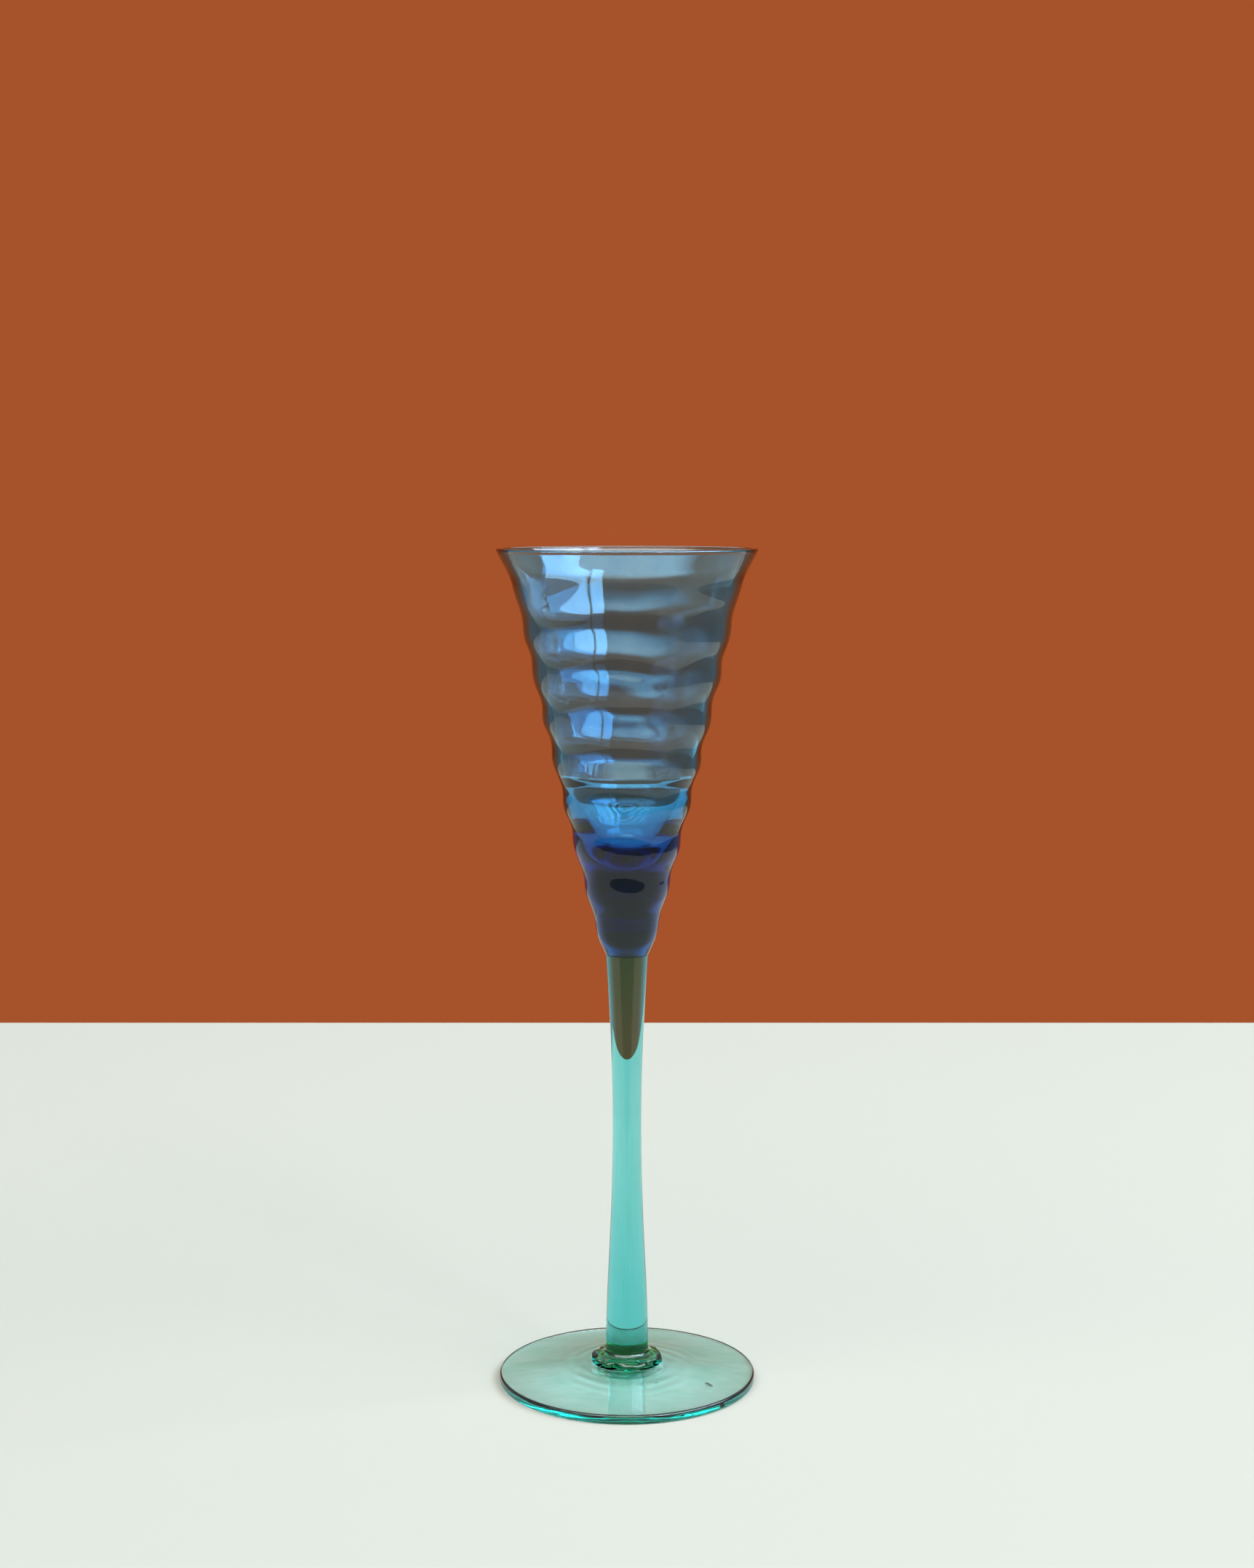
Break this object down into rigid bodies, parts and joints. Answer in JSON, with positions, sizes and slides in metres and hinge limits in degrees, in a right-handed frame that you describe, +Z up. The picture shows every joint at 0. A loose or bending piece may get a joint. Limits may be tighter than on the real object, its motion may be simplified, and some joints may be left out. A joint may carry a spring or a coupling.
{
  "type": "champagne flute",
  "caption": "Tall stemmed glass with a flared cone bowl ringed by soft ripples, a waisted solid stem, a small button and a round disc foot.",
  "frame": {"origin": "centre of the flat ring that the foot stands on", "axes": "+Z up the stem to the mouth; round about Z, so X and Y are free"},
  "size_m": [0.0714, 0.0714, 0.228],
  "materials": {
    "teal_glass": "clear aqua-green soda glass, fire polished",
    "green_glass": "clear deep green soda glass, fire polished",
    "blue_glass": "clear cobalt and turquoise blue soda glass, fire polished"
  },
  "bodies": {
    "root": {"foot": "teal_glass", "merese": "green_glass", "stem": "teal_glass", "bowl": "blue_glass"}
  },
  "joints": []
}
